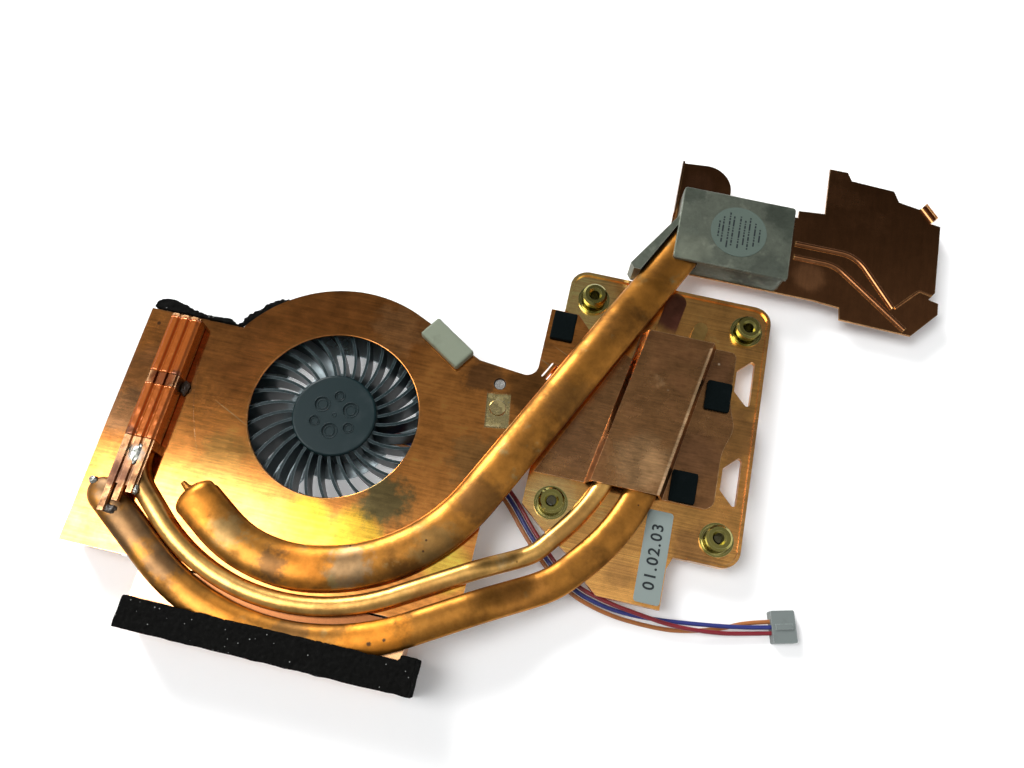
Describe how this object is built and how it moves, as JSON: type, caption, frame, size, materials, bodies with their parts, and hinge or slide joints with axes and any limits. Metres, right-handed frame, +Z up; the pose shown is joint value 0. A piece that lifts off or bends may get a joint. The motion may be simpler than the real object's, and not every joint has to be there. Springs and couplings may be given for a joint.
{
  "type": "laptop cooling fan heatsink",
  "caption": "Copper laptop cooler: flat blower fan with finned outlets, flattened heat pipes to a processor plate with brass bushes and to a graphics block, and a wired plug.",
  "frame": {"origin": "centre of the four processor screw bushes, at the level their feet stand on", "axes": "+X from the fan towards the graphics wing along the short row of bushes, +Y towards the graphics block, +Z up, away from the board"},
  "size_m": [0.1968, 0.1599, 0.015],
  "materials": {
    "cover_copper": "satin, tarnished",
    "pipe_copper": "satin, tarnished",
    "plate_copper": "satin, tarnished",
    "clamp_copper": "satin, tarnished",
    "strip_copper": "satin, tarnished",
    "wing_copper": "satin, tarnished",
    "contact_copper": "satin, tarnished",
    "bush_brass": "turned, polished",
    "leaf_brass": "mottled",
    "sleeve_brass": "turned",
    "fin_metal": "satin",
    "base_steel": "satin",
    "block_grey": "rough cast",
    "steel": "plain",
    "impeller_plastic": "moulded",
    "magnet": "matt",
    "board": "varnished",
    "foam": "soft, open cell",
    "gasket_rubber": "matt",
    "pad_rubber": "matt",
    "tape_film": "glossy film",
    "label_paper": "matt",
    "sticker_paper": "matt",
    "wire_red": "smooth",
    "wire_blue": "smooth",
    "wire_orange": "smooth",
    "plug_white": "smooth"
  },
  "bodies": {
    "frame": {"fan_cover": "cover_copper", "heat_pipe_gpu": "pipe_copper", "heat_pipe_inner": "pipe_copper", "heat_pipe_outer": "pipe_copper", "cpu_base": "plate_copper", "cpu_contact": "contact_copper", "gpu_contact": "contact_copper", "mount_bush_1": "bush_brass", "mount_bush_2": "bush_brass", "mount_bush_3": "bush_brass", "mount_bush_4": "bush_brass", "cpu_clamp": "clamp_copper", "fan_base": "base_steel", "bearing_sleeve": "sleeve_brass", "motor_board": "board", "stator_core": "steel", "side_fins": "fin_metal", "rear_fins": "fin_metal", "ribbed_strip": "strip_copper", "tape_upper": "tape_film", "tape_lower": "tape_film", "foam_strip": "foam", "foam_return": "foam", "corner_foam": "foam", "gasket": "gasket_rubber", "contact_leaf": "leaf_brass", "cover_screw": "steel", "pad_neck": "pad_rubber", "pad_right": "pad_rubber", "pad_low": "pad_rubber", "date_label": "label_paper", "gpu_block": "block_grey", "gpu_cap": "block_grey", "round_sticker": "sticker_paper", "wing_sheet": "wing_copper", "wire_red": "wire_red", "wire_blue": "wire_blue", "wire_orange": "wire_orange", "fan_plug": "plug_white"},
    "rotor": {"impeller": "impeller_plastic", "magnet_ring": "magnet", "fan_shaft": "steel"}
  },
  "joints": [
    {"name": "fan_spin", "type": "hinge", "parent": "frame", "child": "rotor", "pos_m": [-0.0758, -0.0188, 0.006], "axis": [0, 0, 1], "continuous": true}
  ]
}
